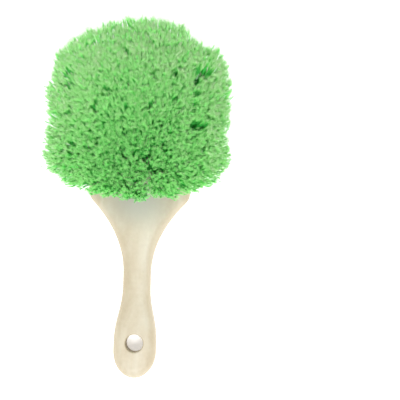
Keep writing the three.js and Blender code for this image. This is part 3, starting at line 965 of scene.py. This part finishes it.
def block_material():
    """Cream structural-foam plastic with faint swirls and a fine pebbled skin. A painted shadow
    greys the shoulder under the bristles, and a warm painted shade darkens its edges.
    """
    material, n, shader = new_material("cream_plastic")
    here = n.put("ShaderNodeTexCoord").outputs["Object"]
    long_way = n.put("ShaderNodeMapping", {"Vector": here, "Scale": SWIRL_STRETCH}).outputs[0]
    swirl = n.noise(long_way, SWIRL_SCALE, 5.0, 0.8)
    mottle = n.noise(here, MOTTLE_SCALE, 3.0)
    mottle = n.mapped(mottle, MOTTLE_FROM, MOTTLE_TO, MOTTLE_DULLEST, MOTTLE_BRIGHTEST)
    colour = n.brightened(ramp(n, swirl, PLASTIC_COLOURS), mottle)
    # Painted shadow of the overhanging bristles, greying the plastic at the shoulder
    from_shoulder = n.vector("SUBTRACT", here, PAINTED_SHADOW_MIDDLE)
    far = n.vector("LENGTH", n.vector("MULTIPLY", from_shoulder, PAINTED_SHADOW_STRETCH))
    shoulder_shadow = n.mapped(far, PAINTED_SHADOW_CORE, PAINTED_SHADOW_REACH, PAINTED_SHADOW_STRENGTH, 0.0, "SMOOTHSTEP")
    colour = n.mixed(shoulder_shadow, colour, srgb(*PAINTED_SHADOW_COLOUR))
    # Painted shade, warm and darker, on the edges as the surface turns to the side
    facing = n.parts(n.put("ShaderNodeTexCoord").outputs["Normal"])[2]
    edge = n.mapped(facing, EDGE_SHADE_FROM, EDGE_SHADE_TO, 0.0, EDGE_SHADE_STRENGTH)
    colour = n.mixed(edge, colour, srgb(*PLASTIC_EDGE_SHADE_COLOUR))
    n.feed(shader.inputs["Base Color"], colour)
    n.feed(shader.inputs["Roughness"], n.mapped(swirl, 0.0, 1.0, *PLASTIC_ROUGHNESS))
    bump = n.put("ShaderNodeBump", {"Height": n.noise(here, GRAIN_SCALE, 3.0),
                                    "Strength": GRAIN_STRENGTH, "Distance": GRAIN_DEPTH})
    n.feed(shader.inputs["Normal"], bump.outputs[0])
    return material


def staple_material():
    """Bright drawn wire with fine draw lines."""
    material, n, shader = new_material("staple_wire")
    here = n.put("ShaderNodeTexCoord").outputs["Object"]
    lines = n.noise(here, DRAW_LINE_SCALE, 2.0)
    n.feed(shader.inputs["Base Color"], ramp(n, lines, WIRE_COLOURS))
    n.feed(shader.inputs["Roughness"], n.mapped(lines, 0.0, 1.0, *WIRE_ROUGHNESS))
    shader.inputs["Metallic"].default_value = 1.0
    return material


# Camera, floor and light

PHOTO_SIDE = 400
MM_PER_PIXEL = 0.7173
BRUSH_TILT = math.radians(1.8)
ORIGIN_PIXEL = (140.5, 137.6)
CAMERA_DISTANCE = 2.0
SENSOR_WIDTH = 36
LEAN_FROM_RIGHT = math.radians(2.2)
FOCUS_HEIGHT = 20 * MM


def place_camera():
    """Looks straight down on the brush, with the toe up the picture. The lens is long, and the
    camera stands to one side of the brush, which the photograph has left of its middle."""
    data = bpy.data.cameras.new("camera")
    camera = bpy.data.objects.new("camera", data)
    bpy.context.scene.collection.objects.link(camera)
    bpy.context.scene.camera = camera
    frame_side = PHOTO_SIDE * MM_PER_PIXEL * MM
    data.sensor_width = SENSOR_WIDTH
    data.lens = data.sensor_width * CAMERA_DISTANCE / frame_side
    data.clip_start = 0.1
    data.clip_end = 20
    turn = Matrix.Rotation(BRUSH_TILT, 3, "Z")
    lean = Matrix.Rotation(LEAN_FROM_RIGHT, 3, "Y")
    facing = turn @ lean
    right, up, back = facing.col[0], facing.col[1], facing.col[2]
    middle = PHOTO_SIDE / 2
    aside = (middle - ORIGIN_PIXEL[0]) * MM_PER_PIXEL * MM
    down = (middle - ORIGIN_PIXEL[1]) * MM_PER_PIXEL * MM
    target = Vector((0, 0, FOCUS_HEIGHT)) + right * aside - up * down
    camera.matrix_world = Matrix.Translation(target + back * CAMERA_DISTANCE) @ facing.to_4x4()


def add_floor():
    far = FLOOR_HALF_SIDE
    corners = [(-far, -far, 0), (far, -far, 0), (far, far, 0), (-far, far, 0)]
    floor = add_mesh("floor", corners, [(0, 1, 2, 3)])
    floor.location.z = cad_low.z - FLOOR_GAP
    material, n, shader = new_material("pale_floor")
    shader.inputs["Base Color"].default_value = srgb(*FLOOR_COLOUR)
    shader.inputs["Roughness"].default_value = FLOOR_ROUGHNESS
    shader.inputs["Emission Color"].default_value = (1, 1, 1, 1)
    shader.inputs["Emission Strength"].default_value = FLOOR_GLOW
    floor.data.materials.append(material)


def add_light(name, place, aim, side, power):
    data = bpy.data.lights.new(name, "AREA")
    data.shape = "SQUARE"
    data.size = side
    data.energy = power
    light = bpy.data.objects.new(name, data)
    light.location = place
    light.rotation_euler = (Vector(aim) - Vector(place)).to_track_quat("-Z", "Y").to_euler()
    bpy.context.scene.collection.objects.link(light)


def light_studio():
    world = bpy.data.worlds.new("studio")
    world.use_nodes = True
    background = world.node_tree.nodes["Background"]
    background.inputs["Color"].default_value = (1, 1, 1, 1)
    background.inputs["Strength"].default_value = WHITE_ROOM
    bpy.context.scene.world = world
    aim = (0, -0.02, 0)
    add_light("key", place=(-0.9, 0.9, 1.4), aim=aim, side=1.0, power=KEY_POWER)
    add_light("fill", place=(0.2, -1.0, 2.1), aim=aim, side=0.9, power=FILL_POWER)
    bpy.context.scene.view_settings.view_transform = "Standard"


# The pieces

place_camera()
add_floor()
light_studio()

tufts = finish_tufts(read_tufts())

block = plain_block()
tuft_cutters = [tuft_hole_cutter(index, tuft) for index, tuft in enumerate(tufts)]
cut(block, [hang_hole_cutter(), *tuft_cutters])
block.data.materials.clear()
block.data.materials.append(block_material())
block.data.shade_smooth()
block.data.set_sharp_from_angle(angle=SHARP_ANGLE)
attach(block, "root")
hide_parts("handle_block")

filament = filament_mesh()
face = trimmed_face(tufts)
tip_reaches(tufts, face)
points = tuft_points(tufts)
spots = parted_spots()
tree, sockets = bristle_tree()
shared = {"Tufts": points, "Filament": filament, "Parted spots": spots, **BRISTLE_MEASURES,
          "Seed": BRISTLE_SEED, "Material": bristle_material()}
values = {sockets[name]: value for name, value in shared.items()}
for group in sorted({t["piece"] for t in tufts}):
    node = STRIPS[group // 2]
    half = ("inner", "outer")[group % 2]
    values[sockets["Group"]] = float(group)
    piece = bristle_piece(f"{node}_{half}_filaments", face, tree, values)
    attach(piece, "root")
    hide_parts(node)
for spare in (filament, face, points, spots):
    bpy.data.objects.remove(spare)

wire = staple_material()
for name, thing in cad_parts.items():
    if name.startswith("staple_"):
        thing.data.materials.clear()
        thing.data.materials.append(wire)
